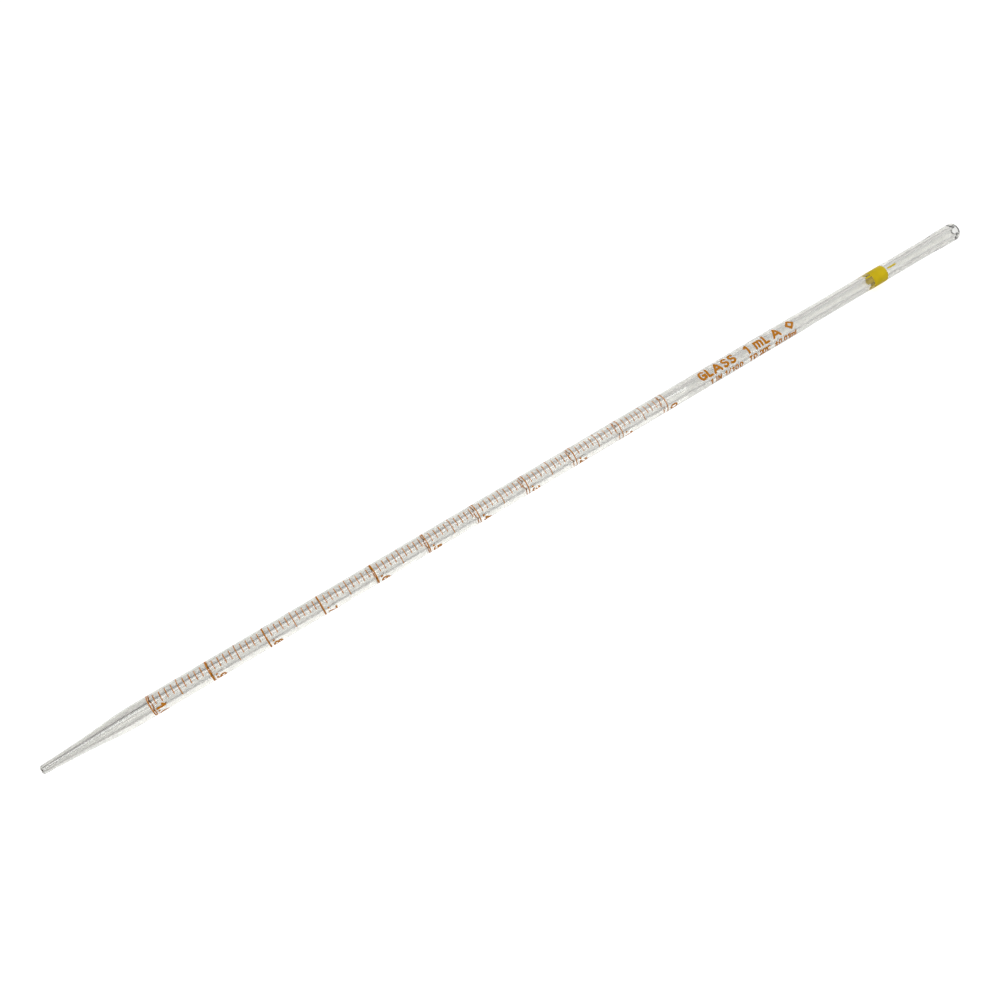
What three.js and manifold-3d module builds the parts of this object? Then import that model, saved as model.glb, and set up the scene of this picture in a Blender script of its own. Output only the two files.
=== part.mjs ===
// A graduated 1 mL measuring pipette: one drawn glass tube with a fired enamel scale.
// Millimetres, +Z up. It lies along X on the plane z = 0, with its jet at -X and its
// mouth at +X, and the middle of its length is at x = 0.
import * as THREE from "three";
import { mergeVertices } from "three/addons/utils/BufferGeometryUtils.js";
import Module from "manifold-3d";

// Scale: lengths along the tube are measured from the end of the jet.
const OVERALL_LENGTH = 360;
const SCALE_VOLUME = 1000; // cubic millimetres, which is 1 mL
const MAJOR_STEPS = 10;
const MAJOR_SPACING = 18.87;
const LOWEST_RING = 33.95; // the 1.0 mL ring
const SCALE_LENGTH = MAJOR_STEPS * MAJOR_SPACING;

// Glass: the bore holds the scale's volume over the scale's length.
const BARREL_DIAMETER = 6.5;
const BORE_DIAMETER = 2 * Math.sqrt(SCALE_VOLUME / (Math.PI * SCALE_LENGTH));
const NECK_DIAMETER = 6.16;
const MOUTH_BEAD_DIAMETER = 6.65;
const AXIS_HEIGHT = MOUTH_BEAD_DIAMETER / 2;

// Drawn jet: its bore narrows in step with its outside.
const JET_ORIFICE = 0.8;
const JET_FACE = 1.8;
const JET_DIAMETER = 2.8;
const JET_ROUNDING = 0.7;
const CONE_DIAMETER = 4.3;
const CONE_START = 13.9;
const SHOULDER_START = 23.3;
const SHOULDER_END = 28.2;
const SHOULDER_BEND = (SHOULDER_START + SHOULDER_END) / 2;
const JET_BORE_START = 1.6;
const BORE_RATIO = BORE_DIAMETER / BARREL_DIAMETER;

// Neck and fire-polished mouth.
const NECK_START = 281.5;
const NECK_FULL = 289.6;
const BEAD_START = 347;
const BEAD_FULL = 354.5;
const MOUTH_ROUNDING = 1;
const MOUTH_FACE = 4.4;
const MOUTH_OPENING = 2.3;
const MOUTH_THROAT = 3;

// Facets round the tube: one faces straight down, so the pipette rests without rolling.
// Distances across the flats are the true diameters.
const FACETS = 24;
const FACET_ANGLE = (2 * Math.PI) / FACETS;
const CORNER_RATIO = 1 / Math.cos(FACET_ANGLE / 2);
const CURVE_STEPS = 4;

// Enamel print.
const ENAMEL_GAP = 0.02;
const ENAMEL_THICKNESS = 0.04;
const PRINT_RADIUS = (BARREL_DIAMETER / 2) * CORNER_RATIO + ENAMEL_GAP;
const BEND_STEP = 0.65; // longest flat stretch round the tube
const BEND_SNAP = 0.02; // a cut this close to a corner goes through it
const RING_WIDTH = 0.4;
const MEDIUM_LINE_WIDTH = 0.3;
const MEDIUM_LINE_HALF_ANGLE = THREE.MathUtils.degToRad(58);
const BAND_START = 317.2;
const BAND_END = 323.7;

// Numerals stand upright when the pipette does. Letters of the capacity run along it.
// Heights are from ink to ink.
const NUMERAL_HEIGHT = 3.15;
const NUMERAL_STROKE = 0.7;
const NUMERAL_RISE = 1; // above its ring
const NUMERAL_GAP = 0.3;
const NUMERAL_CENTRE_ANGLE = THREE.MathUtils.degToRad(78);
const CAPACITY_HEIGHT = 3.85;
const CAPACITY_STROKE = 0.85;
const CAPACITY_BASE_ANGLE = THREE.MathUtils.degToRad(34.5);
const CAPACITY_LETTERS = [
  { glyph: "1", start: 258.1 },
  { glyph: "m", start: 262.1 },
  { glyph: "L", start: 266 },
  { glyph: "A", start: 269.9 },
];

const GLASS_COLOUR = 0xdde1df;
const PRINT_COLOUR = 0xb4701a;
const BAND_COLOUR = 0xc8ae00;

const wasm = await Module();
wasm.setup();

// Place along X of a point measured from the end of the jet.
function stationX(fromTip) {
  return fromTip - OVERALL_LENGTH / 2;
}

// A point at a radius from the tube's axis and an angle from its top, towards -Y.
function onTube(radius, angle, fromTip) {
  return new THREE.Vector3(stationX(fromTip), -radius * Math.sin(angle), radius * Math.cos(angle));
}

// A closed outline of (radius, distance from the jet) points, turned round the tube's axis.
function turned(points) {
  const corners = points.map((p) => new THREE.Vector2(p.x * CORNER_RATIO, stationX(p.y)));
  const geometry = new THREE.LatheGeometry(corners, FACETS, FACET_ANGLE / 2);
  geometry.rotateZ(-Math.PI / 2);
  return geometry;
}

// Half section of the glass: up the outside from the jet to the mouth, back down the bore.
function glassOutline() {
  const outline = new THREE.Path();
  addOuterWall(outline);
  addBoreWall(outline);
  outline.closePath();
  return outline.getPoints(CURVE_STEPS);
}

// Outside radius where the straight cone ends and starts to round into the barrel.
function shoulderRadius() {
  const cone = CONE_DIAMETER / 2;
  const slope = (BARREL_DIAMETER / 2 - cone) / (SHOULDER_BEND - CONE_START);
  return cone + slope * (SHOULDER_START - CONE_START);
}

function addOuterWall(outline) {
  const jet = JET_DIAMETER / 2;
  const barrel = BARREL_DIAMETER / 2;
  const neck = NECK_DIAMETER / 2;
  const bead = MOUTH_BEAD_DIAMETER / 2;
  const neckMiddle = (NECK_START + NECK_FULL) / 2;
  const beadMiddle = (BEAD_START + BEAD_FULL) / 2;
  const roundingStart = OVERALL_LENGTH - MOUTH_ROUNDING;
  outline.moveTo(JET_ORIFICE / 2, 0);
  outline.lineTo(JET_FACE / 2, 0);
  outline.quadraticCurveTo(jet, 0, jet, JET_ROUNDING);
  outline.lineTo(CONE_DIAMETER / 2, CONE_START);
  outline.lineTo(shoulderRadius(), SHOULDER_START);
  outline.quadraticCurveTo(barrel, SHOULDER_BEND, barrel, SHOULDER_END);
  outline.lineTo(barrel, NECK_START);
  outline.bezierCurveTo(barrel, neckMiddle, neck, neckMiddle, neck, NECK_FULL);
  outline.lineTo(neck, BEAD_START);
  outline.bezierCurveTo(neck, beadMiddle, bead, beadMiddle, bead, BEAD_FULL);
  outline.lineTo(bead, roundingStart);
  outline.quadraticCurveTo(bead, OVERALL_LENGTH, MOUTH_FACE / 2, OVERALL_LENGTH);
}

function addBoreWall(outline) {
  const bore = BORE_DIAMETER / 2;
  const throatStart = OVERALL_LENGTH - MOUTH_THROAT;
  outline.lineTo(MOUTH_OPENING / 2, OVERALL_LENGTH);
  outline.quadraticCurveTo(bore, OVERALL_LENGTH, bore, throatStart);
  outline.lineTo(bore, SHOULDER_END);
  outline.quadraticCurveTo(bore, SHOULDER_BEND, shoulderRadius() * BORE_RATIO, SHOULDER_START);
  outline.lineTo((CONE_DIAMETER / 2) * BORE_RATIO, CONE_START);
  outline.lineTo((JET_DIAMETER / 2) * BORE_RATIO, JET_BORE_START);
}

// A band of enamel all the way round, between two stations.
function enamelBand(glassDiameter, start, end) {
  const inner = glassDiameter / 2 + ENAMEL_GAP;
  const outer = inner + ENAMEL_THICKNESS;
  return turned([
    new THREE.Vector2(inner, start),
    new THREE.Vector2(outer, start),
    new THREE.Vector2(outer, end),
    new THREE.Vector2(inner, end),
    new THREE.Vector2(inner, start),
  ]);
}

// Glyph centre lines, for capitals one unit tall. A pen has a unit and a stroke's width.
const NUMERAL_PEN = { unit: NUMERAL_HEIGHT - NUMERAL_STROKE, stroke: NUMERAL_STROKE };
const CAPACITY_PEN = { unit: CAPACITY_HEIGHT - CAPACITY_STROKE, stroke: CAPACITY_STROKE };
const GLYPH_WIDTHS = { ".": 0.02, 1: 0.3, 4: 0.7, m: 0.9, L: 0.48, A: 0.98 };
const DIGIT_WIDTH = 0.62;

function glyphWidth(glyph) {
  return GLYPH_WIDTHS[glyph] ?? DIGIT_WIDTH;
}

function line(...points) {
  return new THREE.Path(points.map(([x, y]) => new THREE.Vector2(x, y)));
}

// Part of an ellipse, clockwise between two angles in degrees, then lines to more points.
function arc(x, y, radiusX, radiusY, from, to, ...points) {
  const path = new THREE.Path();
  const [start, end] = [from, to].map(THREE.MathUtils.degToRad);
  path.absellipse(x, y, radiusX, radiusY, start, end, true);
  points.forEach(([px, py]) => path.lineTo(px, py));
  return path;
}

function loop(x, y, radiusX, radiusY) {
  return { x, y, radiusX, radiusY };
}

const GLYPHS = {
  ".": [line([0.01, 0.05], [0.01, 0.07])],
  0: [loop(0.31, 0.5, 0.31, 0.5)],
  1: [line([0.3, 1], [0.3, 0]), line([0, 0.76], [0.26, 0.96])],
  2: [arc(0.31, 0.69, 0.31, 0.31, 165, -35, [0, 0], [0.62, 0])],
  3: [
    arc(0.29, 0.75, 0.27, 0.25, 150, -85),
    arc(0.29, 0.27, 0.33, 0.27, 95, -150),
  ],
  4: [line([0.5, 1], [0, 0.27], [0.7, 0.27]), line([0.5, 0.9], [0.5, 0])],
  5: [
    line([0.58, 1], [0.1, 1], [0.04, 0.56]),
    arc(0.29, 0.32, 0.33, 0.32, 138, -145),
  ],
  6: [loop(0.31, 0.31, 0.31, 0.31), arc(0.56, 0.31, 0.56, 0.69, 168, 88)],
  7: [line([0, 1], [0.62, 1], [0.2, 0])],
  8: [loop(0.31, 0.76, 0.26, 0.24), loop(0.31, 0.27, 0.31, 0.27)],
  9: [loop(0.31, 0.69, 0.31, 0.31), arc(0.06, 0.69, 0.56, 0.69, -12, -92)],
  m: [
    line([0, 0.76], [0, 0]),
    arc(0.225, 0.51, 0.225, 0.25, 150, 0, [0.45, 0]),
    arc(0.675, 0.51, 0.225, 0.25, 150, 0, [0.9, 0]),
  ],
  L: [line([0, 1], [0, 0], [0.48, 0])],
  A: [
    line([0, 0], [0.52, 1]),
    line([0.98, 0], [0.46, 1]),
    line([0.2, 0.28], [0.78, 0.28]),
  ],
};

// The point beside a polyline's corner, one offset away from both of its lines.
function besideCorner(points, index, offset) {
  const here = points[index];
  const before = points[Math.max(index - 1, 0)];
  const after = points[Math.min(index + 1, points.length - 1)];
  const arriving = here.clone().sub(before).normalize();
  const leaving = after.clone().sub(here).normalize();
  const along = arriving.add(leaving).normalize();
  const reference = index === 0 ? after.clone().sub(here) : here.clone().sub(before);
  const cosine = along.dot(reference.normalize());
  const sideways = new THREE.Vector2(-along.y, along.x);
  return here.clone().addScaledVector(sideways, offset / cosine);
}

// The half circle round a stroke's end, from the left side to the right side.
function roundEnd(end, towards, radius) {
  const heading = Math.atan2(end.y - towards.y, end.x - towards.x);
  const cap = new THREE.Path();
  cap.absarc(end.x, end.y, radius, heading + Math.PI / 2, heading - Math.PI / 2, true);
  return cap.getPoints(2).slice(1, -1);
}

// A pen stroke along a glyph's path.
function strokeShape(path, { unit, stroke }) {
  const points = path.getPoints(CURVE_STEPS).map((p) => p.multiplyScalar(unit));
  const half = stroke / 2;
  const last = points.length - 1;
  const left = points.map((p, i) => besideCorner(points, i, half));
  const right = points.map((p, i) => besideCorner(points, i, -half)).reverse();
  const ends = [
    roundEnd(points[last], points[last - 1], half),
    roundEnd(points[0], points[1], half),
  ];
  return new THREE.Shape([...left, ...ends[0], ...right, ...ends[1]]);
}

// A pen stroke round a whole ellipse.
function loopShape({ x, y, radiusX, radiusY }, { unit, stroke }) {
  const ellipse = (offset) => {
    const path = new THREE.Path();
    const radii = [radiusX * unit + offset, radiusY * unit + offset];
    path.absellipse(x * unit, y * unit, ...radii, 0, 2 * Math.PI, false);
    return path.getPoints(2 * CURVE_STEPS).slice(0, -1);
  };
  const shape = new THREE.Shape(ellipse(stroke / 2));
  shape.holes.push(new THREE.Path(ellipse(-stroke / 2)));
  return shape;
}

function solidOf(geometry) {
  const bare = geometry.clone();
  bare.deleteAttribute("normal");
  bare.deleteAttribute("uv");
  const { attributes, index } = mergeVertices(bare);
  const vertProperties = attributes.position.array;
  const triVerts = new Uint32Array(index.array);
  return new wasm.Manifold(new wasm.Mesh({ numProp: 3, vertProperties, triVerts }));
}

function geometryOf(solid) {
  const { vertProperties, triVerts } = solid.getMesh();
  const geometry = new THREE.BufferGeometry();
  geometry.setAttribute("position", new THREE.BufferAttribute(vertProperties, 3));
  geometry.setIndex(new THREE.BufferAttribute(triVerts, 1));
  return geometry;
}

function flatEnamel(shape) {
  return new THREE.ExtrudeGeometry(shape, { depth: ENAMEL_THICKNESS, bevelEnabled: false });
}

// A whole glyph as one flat piece of enamel, with its strokes joined.
function flatGlyph(glyph, pen) {
  const solids = GLYPHS[glyph].map((path) => {
    const isLoop = !(path instanceof THREE.Path);
    return solidOf(flatEnamel(isLoop ? loopShape(path, pen) : strokeShape(path, pen)));
  });
  return geometryOf(solids.reduce((whole, next) => whole.add(next)));
}

function trianglesOf(geometry) {
  const loose = geometry.index ? geometry.toNonIndexed() : geometry;
  const position = loose.getAttribute("position");
  const corner = (i) => new THREE.Vector3().fromBufferAttribute(position, i);
  const count = position.count / 3;
  return Array.from({ length: count }, (_, i) => [0, 1, 2].map((k) => corner(3 * i + k)));
}

function fan(polygon) {
  return polygon.slice(2).map((corner, i) => [polygon[0], polygon[i + 1], corner]);
}

// The parts of a convex polygon that is cut where its x or y is at a level.
function cutAtLevel(polygon, axis, level) {
  const heights = polygon.map((corner) => corner[axis] - level);
  const snapped = heights.map((height) => (Math.abs(height) < BEND_SNAP ? 0 : height));
  if (Math.min(...snapped) >= 0 || Math.max(...snapped) <= 0) return [polygon];
  const above = [];
  const below = [];
  polygon.forEach((here, i) => {
    const next = (i + 1) % polygon.length;
    const [from, to] = [snapped[i], snapped[next]];
    if (from >= 0) above.push(here);
    if (from <= 0) below.push(here);
    if (from * to < 0) {
      const crossing = here.clone().lerp(polygon[next], from / (from - to));
      above.push(crossing);
      below.push(crossing);
    }
  });
  return [above, below];
}

// Flat enamel bent round the barrel. axis is the flat direction that goes round the tube,
// and place turns a flat point into an angle from the tube's top, towards -Y, and a
// distance from the end of the jet.
function bentRoundBarrel(flat, axis, place) {
  flat.computeBoundingBox();
  const { min, max } = flat.boundingBox;
  let polygons = trianglesOf(flat);
  const cuts = Math.ceil((max[axis] - min[axis]) / BEND_STEP);
  for (let i = 1; i < cuts; i++) {
    const level = THREE.MathUtils.lerp(min[axis], max[axis], i / cuts);
    polygons = polygons.flatMap((polygon) => cutAtLevel(polygon, axis, level));
  }
  const corners = polygons.flatMap(fan).flat();
  const geometry = new THREE.BufferGeometry().setFromPoints(corners.map((corner) => {
    const { angle, fromTip } = place(corner);
    return onTube(PRINT_RADIUS + corner.z, angle, fromTip);
  }));
  geometry.computeVertexNormals();
  return geometry;
}

// A numeral's glyph, which reads round the tube. Its ink starts at an angle and a base.
function glyphRound(glyph, startAngle, base) {
  const edge = NUMERAL_STROKE / 2;
  return bentRoundBarrel(flatGlyph(glyph, NUMERAL_PEN), "x", (point) => ({
    angle: startAngle + (point.x + edge) / PRINT_RADIUS,
    fromTip: base + point.y + edge,
  }));
}

// A glyph of the capacity, which reads along the tube. Its ink starts at a distance.
function glyphAlong(glyph, start) {
  const edge = CAPACITY_STROKE / 2;
  return bentRoundBarrel(flatGlyph(glyph, CAPACITY_PEN), "y", (point) => ({
    angle: CAPACITY_BASE_ANGLE - (point.y + edge) / PRINT_RADIUS,
    fromTip: start + point.x + edge,
  }));
}

// A line across the front of the scale, as a bar bent round the barrel.
function mediumLineGeometry(fromTip) {
  const length = 2 * MEDIUM_LINE_HALF_ANGLE * PRINT_RADIUS;
  const steps = Math.ceil(length / BEND_STEP);
  const bar = new THREE.BoxGeometry(length, MEDIUM_LINE_WIDTH, ENAMEL_THICKNESS, steps);
  const position = bar.getAttribute("position");
  const corner = new THREE.Vector3();
  for (let i = 0; i < position.count; i++) {
    corner.fromBufferAttribute(position, i);
    const radius = PRINT_RADIUS + ENAMEL_THICKNESS / 2 + corner.z;
    const bent = onTube(radius, corner.x / PRINT_RADIUS, fromTip + corner.y);
    position.setXYZ(i, bent.x, bent.y, bent.z);
  }
  bar.computeVertexNormals();
  return bar;
}

function glassMaterial() {
  return new THREE.MeshStandardMaterial({
    color: GLASS_COLOUR,
    roughness: 0.03,
    metalness: 0,
    transparent: true,
    opacity: 0.35,
  });
}

function printMaterial() {
  return new THREE.MeshStandardMaterial({ color: PRINT_COLOUR, roughness: 0.4, metalness: 0 });
}

function bandMaterial() {
  return new THREE.MeshStandardMaterial({ color: BAND_COLOUR, roughness: 0.3, metalness: 0 });
}

function piece(name, geometry, material) {
  const mesh = new THREE.Mesh(geometry, material);
  mesh.name = name;
  return mesh;
}

// Distance from the jet of a reading on the scale, which counts down towards the jet.
function fromTipOf(millilitres) {
  return LOWEST_RING + (1 - millilitres) * SCALE_LENGTH;
}

// 0.35 becomes 0_35, for use in a piece's name.
function readingName(millilitres, decimals) {
  return millilitres.toFixed(decimals).replace(".", "_");
}

function labelOf(tenths) {
  if (tenths === 0) return "0";
  return tenths === MAJOR_STEPS ? "1.0" : "." + tenths;
}

function majorRings() {
  const rings = [];
  for (let tenths = 0; tenths <= MAJOR_STEPS; tenths++) {
    const reading = tenths / MAJOR_STEPS;
    const centre = fromTipOf(reading);
    const half = RING_WIDTH / 2;
    const geometry = enamelBand(BARREL_DIAMETER, centre - half, centre + half);
    rings.push(piece(`major_ring_${readingName(reading, 1)}`, geometry, printMaterial()));
  }
  return rings;
}

function mediumLines() {
  const lines = [];
  for (let tenths = 0; tenths < MAJOR_STEPS; tenths++) {
    const reading = (tenths + 0.5) / MAJOR_STEPS;
    const name = `medium_line_${readingName(reading, 2)}`;
    lines.push(piece(name, mediumLineGeometry(fromTipOf(reading)), printMaterial()));
  }
  return lines;
}

// One ring's number, centred on the numerals' line, with each character its own piece.
function numeral(tenths) {
  const reading = tenths / MAJOR_STEPS;
  const base = fromTipOf(reading) + NUMERAL_RISE;
  const label = [...labelOf(tenths)];
  const widths = label.map((glyph) => glyphWidth(glyph) * NUMERAL_PEN.unit + NUMERAL_STROKE);
  const total = widths.reduce((sum, width) => sum + width + NUMERAL_GAP, -NUMERAL_GAP);
  let across = -total / 2;
  return label.map((glyph, i) => {
    const angle = NUMERAL_CENTRE_ANGLE + across / PRINT_RADIUS;
    across += widths[i] + NUMERAL_GAP;
    const character = glyph === "." ? "point" : `digit_${glyph}`;
    const name = `numeral_${readingName(reading, 1)}_${character}`;
    return piece(name, glyphRound(glyph, angle, base), printMaterial());
  });
}

function numerals() {
  const tenths = Array.from({ length: MAJOR_STEPS + 1 }, (_, i) => i);
  return tenths.flatMap(numeral);
}

function capacityLetters() {
  return CAPACITY_LETTERS.map(({ glyph, start }) => {
    return piece(`capacity_${glyph}`, glyphAlong(glyph, start), printMaterial());
  });
}

function glassTube() {
  return piece("glass_tube", turned(glassOutline()), glassMaterial());
}

function colourBand() {
  const geometry = enamelBand(NECK_DIAMETER, BAND_START, BAND_END);
  return piece("colour_band", geometry, bandMaterial());
}

const pipette = new THREE.Group();
pipette.name = "measuring_pipette";
pipette.position.z = AXIS_HEIGHT;
pipette.add(
  glassTube(),
  colourBand(),
  ...majorRings(),
  ...mediumLines(),
  ...numerals(),
  ...capacityLetters(),
);

export default pipette;
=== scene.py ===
"""Looks for a graduated 1 mL glass measuring pipette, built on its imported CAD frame.

Lengths are in metres. The pipette lies along X with its jet towards -X. A place on the tube is
given by its distance from the end of the jet, and by its angle from the tube's top towards -Y.
"""

import math

import bmesh
import bpy
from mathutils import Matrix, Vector


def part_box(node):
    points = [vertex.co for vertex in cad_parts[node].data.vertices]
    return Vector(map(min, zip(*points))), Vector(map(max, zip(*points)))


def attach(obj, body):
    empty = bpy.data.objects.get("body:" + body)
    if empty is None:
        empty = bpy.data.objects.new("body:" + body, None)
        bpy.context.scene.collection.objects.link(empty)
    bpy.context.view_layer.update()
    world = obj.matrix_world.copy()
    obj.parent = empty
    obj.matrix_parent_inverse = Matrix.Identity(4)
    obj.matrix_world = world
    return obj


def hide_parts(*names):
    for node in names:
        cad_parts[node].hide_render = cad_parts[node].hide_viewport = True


MM = 0.001
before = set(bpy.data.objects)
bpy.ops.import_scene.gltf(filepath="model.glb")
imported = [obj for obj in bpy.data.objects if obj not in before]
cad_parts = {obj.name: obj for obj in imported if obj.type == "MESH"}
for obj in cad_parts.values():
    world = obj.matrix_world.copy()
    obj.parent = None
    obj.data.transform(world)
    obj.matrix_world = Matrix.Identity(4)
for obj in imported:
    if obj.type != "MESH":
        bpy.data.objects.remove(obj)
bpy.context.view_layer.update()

# ---------------------------------------------------------------- driving dimensions

TUBE_LOW, TUBE_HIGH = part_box("glass_tube")
AXIS_Z = (TUBE_LOW.z + TUBE_HIGH.z) / 2
LENGTH = TUBE_HIGH.x - TUBE_LOW.x
BARREL_RADIUS = 3.25 * MM
BORE_RADIUS = 1.299 * MM
NECK_RADIUS = 3.08 * MM
BEAD_RADIUS = 3.325 * MM
JET_RADIUS = 1.4 * MM
JET_FACE_RADIUS = 0.9 * MM
ORIFICE_RADIUS = 0.4 * MM
CONE_RADIUS = 2.15 * MM
MOUTH_FACE_RADIUS = 2.2 * MM
MOUTH_LIP_RADIUS = 1.4 * MM
MOUTH_OPENING_RADIUS = 1.15 * MM

# Places along the tube, from the end of the jet.
JET_ROUNDING = 0.7 * MM
JET_BORE_START = 2.0 * MM
CONE_START = 13.9 * MM
SHOULDER_START = 22.55 * MM
SHOULDER_BEND = 25.75 * MM
SHOULDER_END = 29 * MM
NECK_START = 281.5 * MM
NECK_FULL = 289.6 * MM
BEAD_START = 347 * MM
BEAD_FULL = 354.5 * MM
MOUTH_ROUNDING_START = LENGTH - 1.0 * MM
MOUTH_LIP_END = LENGTH - 0.35 * MM
THROAT_START = LENGTH - 4 * MM

# Control points of the tube's curves, as (radius, distance from the end of the jet).
CONE_CURVE_START = (1.62 * MM, 5 * MM)
CONE_CURVE_END = (1.9 * MM, 10.6 * MM)
THROAT_CURVE_START = (BORE_RADIUS, LENGTH - 2 * MM)
THROAT_CURVE_END = (MOUTH_OPENING_RADIUS, LENGTH - 1.5 * MM)
ORIFICE_CURVE = (0.42 * MM, 0.6 * MM)

MAJOR_STEPS = 10

PRINT_DEPTH = 0.012 * MM  # enamel fused below the glass surface
PRINT_HEIGHT = 0.022 * MM  # enamel standing above it
PRINT_EDGE = 0.07 * MM  # width of the enamel's rounded edge
RING_WIDTH = 0.4 * MM
LINE_WIDTH = 0.3 * MM
SHORT_LINE_HALF_ANGLE = math.radians(30)
MEDIUM_LINE_HALF_ANGLE = math.radians(58)

# Heights of characters are from ink to ink.
NUMERAL_HEIGHT = 3.15 * MM
NUMERAL_STROKE = 0.7 * MM
NUMERAL_RISE = 1.0 * MM
NUMERAL_GAP = 0.3 * MM
NUMERAL_CENTRE_ANGLE = math.radians(78)
LETTER_HEIGHT = 3.85 * MM
LETTER_STROKE = 0.85 * MM
LETTER_BASE_ANGLE = math.radians(34.5)
SMALL_HEIGHT = 2.35 * MM
SMALL_STROKE = 0.55 * MM
SMALL_BASE_ANGLE = math.radians(89)


def centre_from_tip(node):
    low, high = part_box(node)
    return (low.x + high.x) / 2 - TUBE_LOW.x


RING_AT_ZERO = centre_from_tip("major_ring_0_0")
RING_AT_ONE = centre_from_tip("major_ring_1_0")


def from_tip(millilitres):
    """Distance from the end of the jet to a reading on the scale."""
    return RING_AT_ZERO + (RING_AT_ONE - RING_AT_ZERO) * millilitres


# ---------------------------------------------------------------- camera

FOCAL_LENGTH = 35.19
SENSOR_WIDTH = 36.0
CAMERA_DISTANCE = 316.8 * MM
CAMERA_AZIMUTH = math.radians(-33.39)
CAMERA_ELEVATION = math.radians(63.9)
AIM_POINT = Vector((-23.55 * MM, -0.15 * MM, AXIS_Z))


def add_camera():
    back = Vector((
        math.sin(CAMERA_AZIMUTH) * math.cos(CAMERA_ELEVATION),
        -math.cos(CAMERA_AZIMUTH) * math.cos(CAMERA_ELEVATION),
        math.sin(CAMERA_ELEVATION),
    ))
    data = bpy.data.cameras.new("camera")
    data.lens = FOCAL_LENGTH
    data.sensor_width = SENSOR_WIDTH
    camera = bpy.data.objects.new("camera", data)
    camera.location = AIM_POINT + back * CAMERA_DISTANCE
    camera.rotation_mode = "QUATERNION"
    camera.rotation_quaternion = (-back).to_track_quat("-Z", "Y")
    bpy.context.scene.collection.objects.link(camera)
    bpy.context.scene.camera = camera


# ---------------------------------------------------------------- mesh helpers

def on_tube(radius, angle, distance):
    """The point at a radius and angle round the axis, a distance from the end of the jet."""
    return Vector((
        TUBE_LOW.x + distance,
        -radius * math.sin(angle),
        AXIS_Z + radius * math.cos(angle),
    ))


def grid_faces(mesh, rows, closed):
    """Quads between neighbouring rows of vertices, where each row is a closed outline."""
    columns = len(rows[0])
    for i in range(len(rows) if closed else len(rows) - 1):
        here, there = rows[i], rows[(i + 1) % len(rows)]
        for j in range(columns):
            k = (j + 1) % columns
            mesh.faces.new((here[j], here[k], there[k], there[j]))


def add_piece(name, mesh, material, slot, *nodes):
    """A finished piece that rides on the pipette and stands for CAD nodes."""
    bmesh.ops.recalc_face_normals(mesh, faces=mesh.faces)
    data = bpy.data.meshes.new(name)
    mesh.to_mesh(data)
    mesh.free()
    data.shade_smooth()
    data.materials.append(material)
    piece = bpy.data.objects.new(name, data)
    bpy.context.scene.collection.objects.link(piece)
    piece.visible_shadow = False  # the floor stays evenly white round the tube
    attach(piece, "root")
    if nodes:
        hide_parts(*nodes)
    return piece


# ---------------------------------------------------------------- glass

TUBE_SEGMENTS = 128
CURVE_STEPS = 14
LONGEST_FACE = 4 * MM


def bezier(start, control_1, control_2, end):
    """Points of a cubic curve after its start."""
    corners = (start, control_1, control_2, end)
    points = []
    for i in range(1, CURVE_STEPS + 1):
        t = i / CURVE_STEPS
        s = 1 - t
        weights = (s ** 3, 3 * s * s * t, 3 * s * t * t, t ** 3)
        points.append(tuple(sum(w * c[k] for w, c in zip(weights, corners)) for k in (0, 1)))
    return points


def quadratic(start, control, end):
    """Points of a quadratic curve after its start."""
    first = tuple(start[k] + (control[k] - start[k]) * 2 / 3 for k in (0, 1))
    second = tuple(end[k] + (control[k] - end[k]) * 2 / 3 for k in (0, 1))
    return bezier(start, first, second, end)


def s_curve(start, end):
    """Points of a curve that leaves and arrives along the tube, after its start."""
    middle = (start[1] + end[1]) / 2
    return bezier(start, (start[0], middle), (end[0], middle), end)


def straight(start, end):
    """Points along a line after its start, no further apart than the longest face."""
    steps = max(1, math.ceil(math.dist(start, end) / LONGEST_FACE))
    return [
        tuple(start[k] + (end[k] - start[k]) * i / steps for k in (0, 1))
        for i in range(1, steps + 1)
    ]


def shoulder_radius():
    """The outside radius where the cone starts to round into the barrel."""
    slope = (BARREL_RADIUS - CONE_RADIUS) / (SHOULDER_BEND - CONE_START)
    return BARREL_RADIUS - slope * (SHOULDER_BEND - SHOULDER_START)


def outer_wall():
    """(radius, distance) points up the outside, from the orifice to the mouth's lip."""
    jet_side = (JET_RADIUS, JET_ROUNDING)
    points = [(ORIFICE_RADIUS, 0.0)]
    points += straight(points[-1], (JET_FACE_RADIUS, 0.0))
    points += quadratic(points[-1], (JET_RADIUS, 0.0), jet_side)
    points += bezier(jet_side, CONE_CURVE_START, CONE_CURVE_END, (CONE_RADIUS, CONE_START))
    points += straight(points[-1], (shoulder_radius(), SHOULDER_START))
    points += quadratic(points[-1], (BARREL_RADIUS, SHOULDER_BEND), (BARREL_RADIUS, SHOULDER_END))
    points += straight(points[-1], (BARREL_RADIUS, NECK_START))
    points += s_curve(points[-1], (NECK_RADIUS, NECK_FULL))
    points += straight(points[-1], (NECK_RADIUS, BEAD_START))
    points += s_curve(points[-1], (BEAD_RADIUS, BEAD_FULL))
    points += straight(points[-1], (BEAD_RADIUS, MOUTH_ROUNDING_START))
    points += quadratic(points[-1], (BEAD_RADIUS, LENGTH), (MOUTH_FACE_RADIUS, LENGTH))
    points += straight(points[-1], (MOUTH_LIP_RADIUS, LENGTH))
    return points


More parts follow.
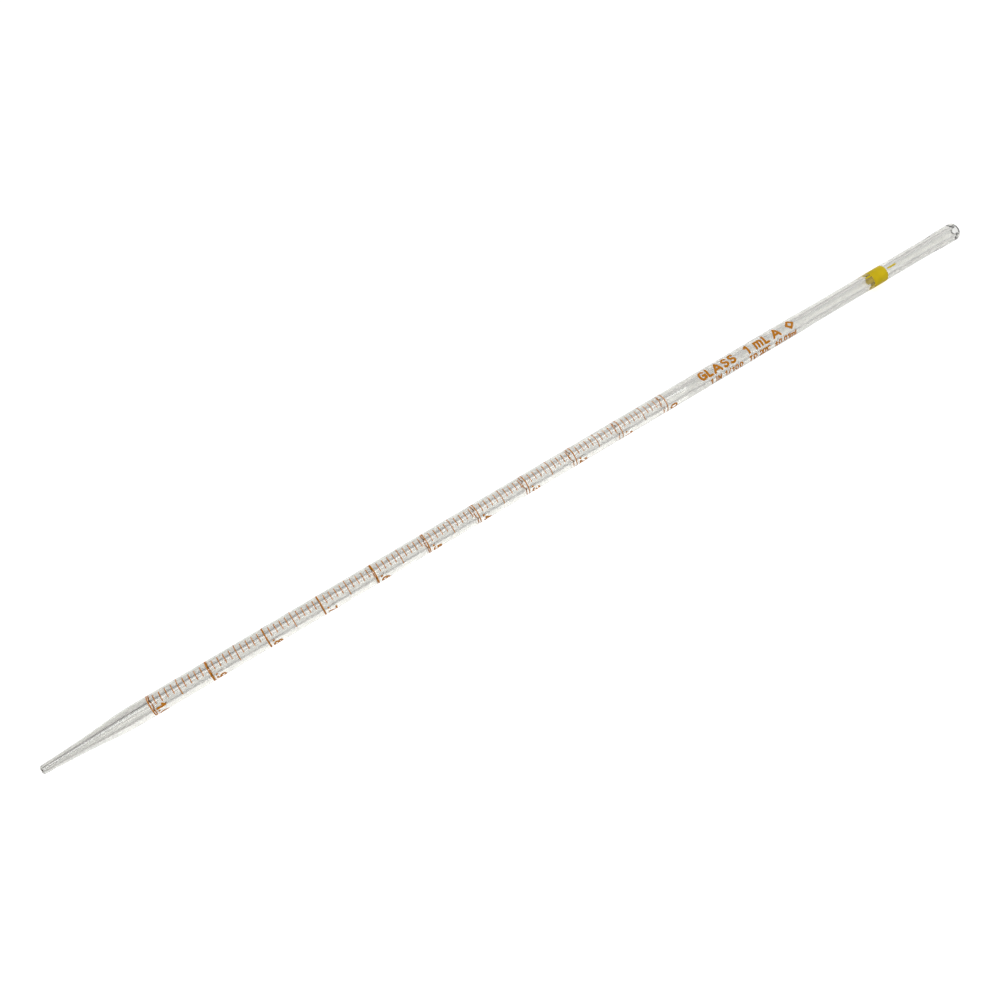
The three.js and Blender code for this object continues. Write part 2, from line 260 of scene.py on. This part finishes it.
def bore_wall(lip):
    """(radius, distance) points back down the bore, after the lip and before the orifice."""
    opening = MOUTH_OPENING_RADIUS
    bore_ratio = BORE_RADIUS / BARREL_RADIUS
    points = quadratic(lip, (opening, LENGTH), (opening, MOUTH_LIP_END))
    throat = (BORE_RADIUS, THROAT_START)
    points += bezier(points[-1], THROAT_CURVE_END, THROAT_CURVE_START, throat)
    points += straight(points[-1], (BORE_RADIUS, SHOULDER_END))
    points += quadratic(points[-1], (BORE_RADIUS, SHOULDER_BEND),
                        (shoulder_radius() * bore_ratio, SHOULDER_START))
    points += straight(points[-1], (CONE_RADIUS * bore_ratio, CONE_START))
    points += straight(points[-1], (JET_RADIUS * bore_ratio, JET_BORE_START))
    points += quadratic(points[-1], ORIFICE_CURVE, (ORIFICE_RADIUS, 0.0))
    return points[:-1]


def add_glass():
    """The tube, as its half section turned round the axis, with its own material on the bore."""
    mesh = bmesh.new()
    outside = outer_wall()
    outline = outside + bore_wall(outside[-1])
    rows = []
    for i in range(TUBE_SEGMENTS):
        angle = 2 * math.pi * i / TUBE_SEGMENTS
        rows.append([mesh.verts.new(on_tube(radius, angle, place)) for radius, place in outline])
    grid_faces(mesh, rows, closed=True)
    glass = add_piece("glass_body", mesh, glass_material(), "clear_glass", "glass_tube")
    glass.data.materials.append(bore_material())
    for face in glass.data.polygons:
        offset = Vector((0, face.center.y, face.center.z - AXIS_Z))
        face.material_index = int(face.normal.dot(offset) < 0)


# ---------------------------------------------------------------- enamel strokes

STROKE_STEP = 0.14 * MM
RING_SEGMENTS = 96
ROUND_END_ANGLES = [math.radians(a) for a in (18, 36, 54, 72, 88)]
WIDEST_EDGE = 0.6  # share of a thin stroke's half width
EDGE_FOOT = 0.1  # share of the edge that is steep
EDGE_FOOT_HEIGHT = 0.35 * PRINT_HEIGHT


def stroke_section(half_width):
    """An enamel stroke's section as (share of half width, height), from edge to edge."""
    edge = min(PRINT_EDGE / half_width, WIDEST_EDGE)
    return [
        (-1.0, -PRINT_DEPTH),
        (-1.0 + EDGE_FOOT * edge, EDGE_FOOT_HEIGHT),
        (-1.0 + edge, PRINT_HEIGHT),
        (1.0 - edge, PRINT_HEIGHT),
        (1.0 - EDGE_FOOT * edge, EDGE_FOOT_HEIGHT),
        (1.0, -PRINT_DEPTH),
    ]


def resampled(points, closed):
    """The same path with evenly spaced points."""
    corners = points + points[:1] if closed else points
    lengths = [math.dist(a, b) for a, b in zip(corners, corners[1:])]
    total = sum(lengths)
    steps = max(2, math.ceil(total / STROKE_STEP))
    even, index, passed = [], 0, 0.0
    for i in range(steps if closed else steps + 1):
        target = total * i / steps
        while index < len(lengths) - 1 and passed + lengths[index] < target:
            passed += lengths[index]
            index += 1
        share = min(1.0, (target - passed) / lengths[index])
        start, end = corners[index], corners[index + 1]
        even.append(tuple(start[k] + (end[k] - start[k]) * share for k in (0, 1)))
    return even


def with_round_ends(points, half_width):
    """(point, share of the half width) along an open path, narrowing to a round end."""
    def ends(tip, inner):
        away = Vector(tip) - Vector(inner)
        away.normalize()
        reach = away * half_width
        return [(tuple(Vector(tip) + reach * math.sin(a)), math.cos(a)) for a in ROUND_END_ANGLES]

    first = ends(points[0], points[1])[::-1]
    last = ends(points[-1], points[-2])
    return first + [(point, 1.0) for point in points] + last


def add_stroke(mesh, points, width, radius=BARREL_RADIUS, closed=False):
    """Enamel along a path of (distance from the jet, length round the tube) points."""
    half_width = width / 2
    path = resampled(points, closed)
    stations = [(p, 1.0) for p in path] if closed else with_round_ends(path, half_width)
    section = stroke_section(half_width)
    rows = []
    count = len(stations)
    for i, (point, share) in enumerate(stations):
        before = stations[(i - 1) % count][0] if closed or i else point
        after = stations[(i + 1) % count][0] if closed or i < count - 1 else point
        along = Vector(after) - Vector(before)
        along.normalize()
        across = Vector((along.y, -along.x))
        row = []
        for side, height in section:
            x, round_length = Vector(point) + across * side * share * half_width
            row.append(mesh.verts.new(on_tube(radius + height, round_length / radius, x)))
        rows.append(row)
    grid_faces(mesh, rows, closed)
    if not closed:
        mesh.faces.new(rows[0])
        mesh.faces.new(rows[-1][::-1])


def add_line(mesh, distance, half_angle, width):
    """A scale line across the tube's top, reaching an angle to each side."""
    reach = half_angle * BARREL_RADIUS - width / 2
    add_stroke(mesh, [(distance, -reach), (distance, reach)], width)


def add_ring(mesh, distance, width, radius):
    """A line all the way round the tube."""
    section = stroke_section(width / 2)
    rows = []
    for i in range(RING_SEGMENTS):
        angle = 2 * math.pi * i / RING_SEGMENTS
        rows.append([
            mesh.verts.new(on_tube(radius + height, angle, distance + side * width / 2))
            for side, height in section
        ])
    grid_faces(mesh, rows, closed=True)


# ---------------------------------------------------------------- glyphs

SPACE_WIDTH = 0.3


def line(*points):
    """Straight pen strokes from point to point, in cap heights."""
    return [([a, b], False) for a, b in zip(points, points[1:])]


def arc(x, y, radius_x, radius_y, start, end):
    """A pen stroke round part of an ellipse, between two angles in degrees."""
    steps = max(4, math.ceil(abs(end - start) / 10))
    angles = [math.radians(start + (end - start) * i / steps) for i in range(steps + 1)]
    return [([(x + radius_x * math.cos(a), y + radius_y * math.sin(a)) for a in angles], False)]


def loop(x, y, radius_x, radius_y):
    """A pen stroke round a whole ellipse."""
    points, _ = arc(x, y, radius_x, radius_y, 0, 360)[0]
    return [(points[:-1], True)]


SIX = loop(0.31, 0.31, 0.31, 0.31) + arc(0.56, 0.31, 0.56, 0.69, 180, 88)
NINE = loop(0.31, 0.69, 0.31, 0.31) + arc(0.06, 0.69, 0.56, 0.69, 0, -92)

# Each character's width and pen strokes, in cap heights between the strokes' middles.
GLYPHS = {
    ".": (0.02, line((0.01, 0.05), (0.01, 0.07))),
    "/": (0.5, line((0, 0), (0.5, 1))),
    "0": (0.62, loop(0.31, 0.5, 0.31, 0.5)),
    "1": (0.3, line((0.3, 0), (0.3, 1), (0, 0.76))),
    "2": (0.62, arc(0.31, 0.69, 0.31, 0.31, 165, -35) + line((0.56, 0.51), (0, 0), (0.62, 0))),
    "3": (0.62, arc(0.29, 0.76, 0.27, 0.24, 150, -90) + arc(0.29, 0.26, 0.33, 0.26, 90, -150)),
    "4": (0.7, line((0.5, 0), (0.5, 1), (0, 0.27), (0.7, 0.27))),
    "5": (0.62, line((0.58, 1), (0.1, 1), (0.04, 0.54)) + arc(0.29, 0.32, 0.33, 0.32, 138, -145)),
    "6": (0.62, SIX),
    "7": (0.62, line((0, 1), (0.62, 1), (0.2, 0))),
    "8": (0.62, loop(0.31, 0.77, 0.26, 0.23) + loop(0.31, 0.27, 0.31, 0.27)),
    "9": (0.62, NINE),
    "A": (0.98, line((0, 0), (0.49, 1), (0.98, 0)) + line((0.14, 0.28), (0.84, 0.28))),
    "C": (0.66, arc(0.36, 0.5, 0.36, 0.5, 48, 312)),
    "D": (0.68, line((0.26, 0), (0, 0), (0, 1), (0.26, 1)) + arc(0.26, 0.5, 0.42, 0.5, 90, -90)),
    "G": (0.7, arc(0.37, 0.5, 0.37, 0.5, 48, 350) + line((0.42, 0.46), (0.73, 0.46), (0.73, 0.1))),
    "I": (0.0, line((0, 0), (0, 1))),
    "L": (0.48, line((0, 1), (0, 0), (0.48, 0))),
    "N": (0.62, line((0, 0), (0, 1), (0.62, 0), (0.62, 1))),
    "S": (0.62, arc(0.31, 0.75, 0.27, 0.25, 35, 270) + arc(0.31, 0.25, 0.31, 0.25, 90, -145)),
    "T": (0.62, line((0, 1), (0.62, 1)) + line((0.31, 1), (0.31, 0))),
    "l": (0.0, line((0, 0), (0, 1))),
    "m": (0.9, line((0, 0.76), (0, 0)) + arc(0.225, 0.51, 0.225, 0.25, 180, 0)
          + line((0.45, 0.51), (0.45, 0)) + arc(0.675, 0.51, 0.225, 0.25, 180, 0)
          + line((0.9, 0.51), (0.9, 0))),
    "±": (0.6, line((0.3, 0.9), (0.3, 0.3)) + line((0, 0.6), (0.6, 0.6))
          + line((0, 0.04), (0.6, 0.04))),
    "°": (0.24, loop(0.12, 0.86, 0.12, 0.14)),
    "◇": (0.9, line((0.45, 0.02), (0.9, 0.5), (0.45, 0.98), (0, 0.5), (0.45, 0.02))),
}


def advance(character, height, stroke):
    """A character's width from ink to ink, or a space's."""
    if character == " ":
        return SPACE_WIDTH * height
    return GLYPHS[character][0] * (height - stroke) + stroke


def text_width(text, height, stroke, gap):
    """The length of a line of text from ink to ink."""
    return sum(advance(c, height, stroke) for c in text) + gap * (len(text) - 1)


def add_text(mesh, text, height, stroke, gap, place):
    """A line of text. place turns flat x and y into a place on the tube's surface."""
    unit = height - stroke
    left = stroke / 2
    for character in text:
        if character != " ":
            for points, closed in GLYPHS[character][1]:
                spots = [place(left + x * unit, stroke / 2 + y * unit) for x, y in points]
                add_stroke(mesh, spots, stroke, closed=closed)
        left += advance(character, height, stroke) + gap


# ---------------------------------------------------------------- scale and numerals

def reading_name(millilitres, decimals):
    return f"{millilitres:.{decimals}f}".replace(".", "_")


def add_major_rings(material):
    for tenths in range(MAJOR_STEPS + 1):
        name = f"major_ring_{reading_name(tenths / MAJOR_STEPS, 1)}"
        mesh = bmesh.new()
        add_ring(mesh, centre_from_tip(name), RING_WIDTH, BARREL_RADIUS)
        add_piece(f"enamel_{name}", mesh, material, "scale_enamel", name)


def add_medium_lines(material):
    for tenths in range(MAJOR_STEPS):
        name = f"medium_line_{reading_name((tenths + 0.5) / MAJOR_STEPS, 2)}"
        mesh = bmesh.new()
        add_line(mesh, centre_from_tip(name), MEDIUM_LINE_HALF_ANGLE, LINE_WIDTH)
        add_piece(f"enamel_{name}", mesh, material, "scale_enamel", name)


def add_short_lines(material):
    """The 0.01 mL lines, with one piece for each 0.1 mL."""
    for tenths in range(MAJOR_STEPS):
        mesh = bmesh.new()
        for hundredth in (1, 2, 3, 4, 6, 7, 8, 9):
            reading = tenths / MAJOR_STEPS + hundredth / 100
            add_line(mesh, from_tip(reading), SHORT_LINE_HALF_ANGLE, LINE_WIDTH)
        name = f"enamel_short_lines_{reading_name(tenths / MAJOR_STEPS, 1)}"
        add_piece(name, mesh, material, "scale_enamel")


def label_of(tenths):
    if tenths == 0:
        return "0"
    return "1.0" if tenths == MAJOR_STEPS else f".{tenths}"


def add_numerals(material):
    """The rings' numbers, which read round the tube and stand towards the mouth."""
    for tenths in range(MAJOR_STEPS + 1):
        reading = reading_name(tenths / MAJOR_STEPS, 1)
        label = label_of(tenths)
        characters = ["point" if c == "." else f"digit_{c}" for c in label]
        nodes = [f"numeral_{reading}_{c}" for c in characters]
        base = centre_from_tip(f"major_ring_{reading}") + NUMERAL_RISE
        width = text_width(label, NUMERAL_HEIGHT, NUMERAL_STROKE, NUMERAL_GAP)
        left = NUMERAL_CENTRE_ANGLE * BARREL_RADIUS - width / 2
        mesh = bmesh.new()
        add_text(mesh, label, NUMERAL_HEIGHT, NUMERAL_STROKE, NUMERAL_GAP,
                 lambda x, y: (base + y, left + x))
        add_piece(f"enamel_numeral_{reading}", mesh, material, "scale_enamel", *nodes)


# ---------------------------------------------------------------- printed data

LARGE_TEXT = [
    # name, text, start, end, CAD nodes
    ("material", "GLASS", 237.8 * MM, 253.5 * MM, []),
    ("capacity_number", "1", 257.9 * MM, 260.2 * MM, ["capacity_1"]),
    ("capacity_unit", "mL", 262.0 * MM, 268.4 * MM, ["capacity_m", "capacity_L"]),
    ("accuracy", "A", 269.9 * MM, 273.8 * MM, ["capacity_A"]),
    ("diamond", "◇", 276.4 * MM, 280.2 * MM, []),
]
SMALL_TEXT = [
    ("division", "1 IN 1/100", 241.2 * MM, 255.6 * MM, []),
    ("delivery", "TD", 258.3 * MM, 262.0 * MM, []),
    ("temperature", "20°C", 262.9 * MM, 268.0 * MM, []),
    ("tolerance", "±0.01ml", 269.8 * MM, 279.7 * MM, []),
]


def add_printed_line(texts, height, stroke, base_angle, material):
    """Text that reads along the tube, each part spread between its start and its end."""
    base = base_angle * BARREL_RADIUS
    for name, text, start, end, nodes in texts:
        slack = end - start - text_width(text, height, stroke, 0)
        gap = slack / max(1, len(text) - 1)
        mesh = bmesh.new()
        add_text(mesh, text, height, stroke, gap, lambda x, y, s=start: (s + x, base - y))
        add_piece(f"enamel_{name}", mesh, material, "scale_enamel", *nodes)


BAND_DASHES = [
    # start, end, angle
    (314.7 * MM, 317.1 * MM, math.radians(-5)),
    (324.8 * MM, 328.2 * MM, math.radians(11)),
]
DASH_WIDTH = 0.62 * MM


def add_colour_band(material):
    low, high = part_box("colour_band")
    mesh = bmesh.new()
    middle = (low.x + high.x) / 2 - TUBE_LOW.x
    add_ring(mesh, middle, high.x - low.x, NECK_RADIUS)
    add_piece("enamel_colour_band", mesh, material, "band_enamel", "colour_band")
    for number, (start, end, angle) in enumerate(BAND_DASHES, 1):
        mesh = bmesh.new()
        across = angle * NECK_RADIUS
        add_stroke(mesh, [(start, across), (end, across)], DASH_WIDTH, radius=NECK_RADIUS)
        add_piece(f"enamel_band_dash_{number}", mesh, material, "band_enamel")


# ---------------------------------------------------------------- materials

GLASS_IOR = 1.473
ENAMEL_SPECULAR = 0.06


def new_material(name):
    material = bpy.data.materials.new(name)
    material.use_nodes = True
    nodes = material.node_tree.nodes
    return material, material.node_tree, nodes["Principled BSDF"]


def mottle(tree, scale, detail=4.0):
    """Noise over the object's own coordinates."""
    coordinates = tree.nodes.new("ShaderNodeTexCoord")
    mapping = tree.nodes.new("ShaderNodeMapping")
    mapping.inputs["Scale"].default_value = scale
    noise = tree.nodes.new("ShaderNodeTexNoise")
    noise.inputs["Scale"].default_value = 1.0
    noise.inputs["Detail"].default_value = detail
    tree.links.new(coordinates.outputs["Object"], mapping.inputs["Vector"])
    tree.links.new(mapping.outputs["Vector"], noise.inputs["Vector"])
    return noise.outputs["Fac"]


def ramp(tree, factor, low, high, low_colour, high_colour):
    node = tree.nodes.new("ShaderNodeValToRGB")
    node.color_ramp.elements[0].position = low
    node.color_ramp.elements[0].color = (*low_colour, 1)
    node.color_ramp.elements[1].position = high
    node.color_ramp.elements[1].color = (*high_colour, 1)
    tree.links.new(factor, node.inputs["Fac"])
    return node.outputs["Color"]


def bump(tree, factor, principled, strength, distance):
    node = tree.nodes.new("ShaderNodeBump")
    node.inputs["Strength"].default_value = strength
    node.inputs["Distance"].default_value = distance
    tree.links.new(factor, node.inputs["Height"])
    tree.links.new(node.outputs["Normal"], principled.inputs["Normal"])


def new_glass(name):
    material, tree, principled = new_material(name)
    principled.inputs["Transmission Weight"].default_value = 1.0
    principled.inputs["IOR"].default_value = GLASS_IOR
    principled.inputs["Roughness"].default_value = 0.0
    return material, tree, principled


def glass_material():
    """Clear drawn glass with faint lines along the draw. Its grey tint is painted shade, standing
    in for the tube's shadow on the floor seen through it.
    """
    material, tree, principled = new_glass("clear_glass")
    streaks = mottle(tree, (5, 160, 160), 1.0)
    # painted shade: a grey tint in place of the shadow the tube would cast on the floor below it
    painted_shade_tint = ramp(tree, streaks, 0.3, 0.7, (0.46, 0.458, 0.435), (0.475, 0.473, 0.449))
    tree.links.new(painted_shade_tint, principled.inputs["Base Color"])
    bump(tree, streaks, principled, 0.02, 0.02 * MM)
    return material


def bore_material():
    """The bore's wall, which is clear, so that the grey tint of painted shade counts only at the
    outside.
    """
    material, _, principled = new_glass("bore_glass")
    principled.inputs["Base Color"].default_value = (1, 1, 1, 1)
    return material


def scale_enamel_material():
    """Amber brown fired enamel, a little uneven in depth."""
    material, tree, principled = new_material("scale_enamel")
    spots = mottle(tree, (1800, 1800, 1800))
    colour = ramp(tree, spots, 0.35, 0.65, (0.33, 0.115, 0.002), (0.40, 0.145, 0.004))
    tree.links.new(colour, principled.inputs["Base Color"])
    principled.inputs["Roughness"].default_value = 0.42
    principled.inputs["Specular IOR Level"].default_value = ENAMEL_SPECULAR
    bump(tree, spots, principled, 0.25, 0.01 * MM)
    return material


def band_enamel_material():
    """Yellow fired enamel."""
    material, tree, principled = new_material("band_enamel")
    spots = mottle(tree, (500, 500, 500))
    colour = ramp(tree, spots, 0.3, 0.7, (0.43, 0.32, 0.002), (0.48, 0.355, 0.003))
    tree.links.new(colour, principled.inputs["Base Color"])
    principled.inputs["Roughness"].default_value = 0.45
    principled.inputs["Specular IOR Level"].default_value = ENAMEL_SPECULAR
    bump(tree, spots, principled, 0.2, 0.01 * MM)
    return material


def floor_material():
    material, _, principled = new_material("pale_floor")
    principled.inputs["Base Color"].default_value = (0.93, 0.93, 0.93, 1)
    principled.inputs["Roughness"].default_value = 0.9
    return material


# ---------------------------------------------------------------- stage

FLOOR_HALF_SIZE = 3.0
WORLD_DARK = 0.02
WORLD_BRIGHT = 1.4
WORLD_DARK_X = -0.15  # X of the unit direction at which the dark side ends
WORLD_BRIGHT_X = 0.6  # and at which full brightness starts
SOFTBOX_DISTANCE = 1.5
SOFTBOX_CENTRE_X = -0.2
SOFTBOX_LENGTH = 2.0
SOFTBOX_WIDTH = 0.42
OVERHEAD_LIGHT_POWER = 20.0
FRONT_LIGHT_ANGLE = math.radians(43)
FRONT_LIGHT_POWER = 18.0
LIGHT_BOUNCES = 24
TRANSPARENT_BOUNCES = 16


def add_floor():
    mesh = bmesh.new()
    bmesh.ops.create_grid(mesh, x_segments=1, y_segments=1, size=FLOOR_HALF_SIZE)
    data = bpy.data.meshes.new("floor")
    mesh.to_mesh(data)
    mesh.free()
    data.materials.append(floor_material())
    floor = bpy.data.objects.new("floor", data)
    floor.location.z = TUBE_LOW.z
    bpy.context.scene.collection.objects.link(floor)


def add_softbox(name, angle, power):
    """A long softbox beside the tube, its angle measured from overhead towards -Y."""
    data = bpy.data.lights.new(name, "AREA")
    data.shape = "RECTANGLE"
    data.size = SOFTBOX_LENGTH
    data.size_y = SOFTBOX_WIDTH
    data.energy = power
    light = bpy.data.objects.new(name, data)
    place = Vector((0, -math.sin(angle), math.cos(angle))) * SOFTBOX_DISTANCE
    light.location = place + Vector((SOFTBOX_CENTRE_X, 0, 0))
    light.rotation_euler = (-angle, 0, 0)
    bpy.context.scene.collection.objects.link(light)


def add_world():
    """A soft studio that brightens from the jet's side to the mouth's side."""
    world = bpy.data.worlds.new("studio")
    world.use_nodes = True
    tree = world.node_tree
    direction = tree.nodes.new("ShaderNodeTexCoord")
    across = tree.nodes.new("ShaderNodeSeparateXYZ")
    brightness = tree.nodes.new("ShaderNodeMapRange")
    brightness.inputs["From Min"].default_value = WORLD_DARK_X
    brightness.inputs["From Max"].default_value = WORLD_BRIGHT_X
    brightness.inputs["To Min"].default_value = WORLD_DARK
    brightness.inputs["To Max"].default_value = WORLD_BRIGHT
    tree.links.new(direction.outputs["Generated"], across.inputs["Vector"])
    tree.links.new(across.outputs["X"], brightness.inputs["Value"])
    tree.links.new(brightness.outputs["Result"], tree.nodes["Background"].inputs["Strength"])
    tree.nodes["Background"].inputs["Color"].default_value = (1, 1, 1, 1)
    bpy.context.scene.world = world


def set_view():
    scene = bpy.context.scene
    scene.view_settings.view_transform = "Standard"
    scene.view_settings.look = "None"
    scene.cycles.use_denoising = True
    scene.cycles.max_bounces = LIGHT_BOUNCES
    scene.cycles.transmission_bounces = LIGHT_BOUNCES
    scene.cycles.transparent_max_bounces = TRANSPARENT_BOUNCES


add_camera()
add_glass()
scale_enamel = scale_enamel_material()
add_major_rings(scale_enamel)
add_medium_lines(scale_enamel)
add_short_lines(scale_enamel)
add_numerals(scale_enamel)
add_printed_line(LARGE_TEXT, LETTER_HEIGHT, LETTER_STROKE, LETTER_BASE_ANGLE, scale_enamel)
add_printed_line(SMALL_TEXT, SMALL_HEIGHT, SMALL_STROKE, SMALL_BASE_ANGLE, scale_enamel)
add_colour_band(band_enamel_material())
add_floor()
add_softbox("overhead_light", 0.0, OVERHEAD_LIGHT_POWER)
add_softbox("front_light", FRONT_LIGHT_ANGLE, FRONT_LIGHT_POWER)
add_world()
set_view()
